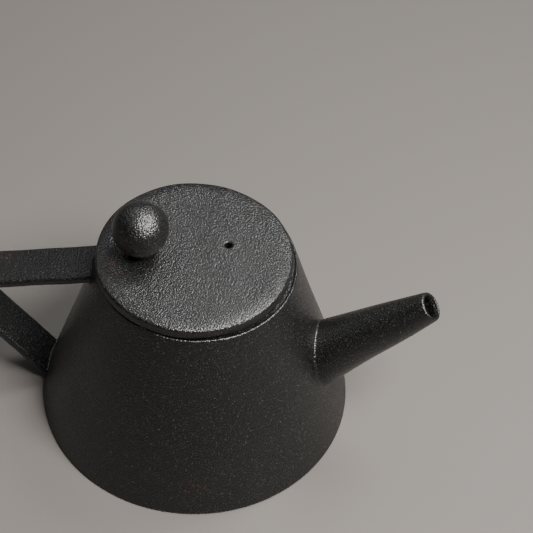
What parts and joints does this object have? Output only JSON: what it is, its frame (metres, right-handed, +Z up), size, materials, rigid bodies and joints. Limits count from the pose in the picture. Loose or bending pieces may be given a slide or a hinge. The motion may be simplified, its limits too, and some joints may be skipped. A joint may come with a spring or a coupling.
{
  "type": "teapot",
  "caption": "Small conical cast iron teapot with a flat lid, ball knob, straight spout, folded strap handle and lift-out strainer basket.",
  "frame": {"origin": "centre of the underside, on the pot's axis, in the plane that the pot stands on", "axes": "+X towards the spout, -X towards the handle, +Z up along the pot's axis"},
  "size_m": [0.1669, 0.11, 0.0919],
  "materials": {
    "cast_iron": "matt black, fine sand-cast grain",
    "stainless_steel": "satin, perforated sheet",
    "zinc_steel": "zinc plated"
  },
  "bodies": {
    "pot": {"pot_body": "cast_iron", "spout": "cast_iron", "handle": "cast_iron"},
    "infuser": {"basket_rim": "stainless_steel", "basket_wall": "stainless_steel", "basket_cup": "stainless_steel", "strainer_disc": "stainless_steel"},
    "lid": {"lid": "cast_iron", "lid_knob": "cast_iron", "knob_washer": "zinc_steel", "knob_screw": "zinc_steel"}
  },
  "joints": [
    {"name": "infuser_lift", "type": "slide", "parent": "pot", "child": "infuser", "axis": [0, 0, 1], "range_m": [0, 0.055]},
    {"name": "lid_lift", "type": "slide", "parent": "infuser", "child": "lid", "axis": [0, 0, 1], "range_m": [0, 0.045]}
  ]
}
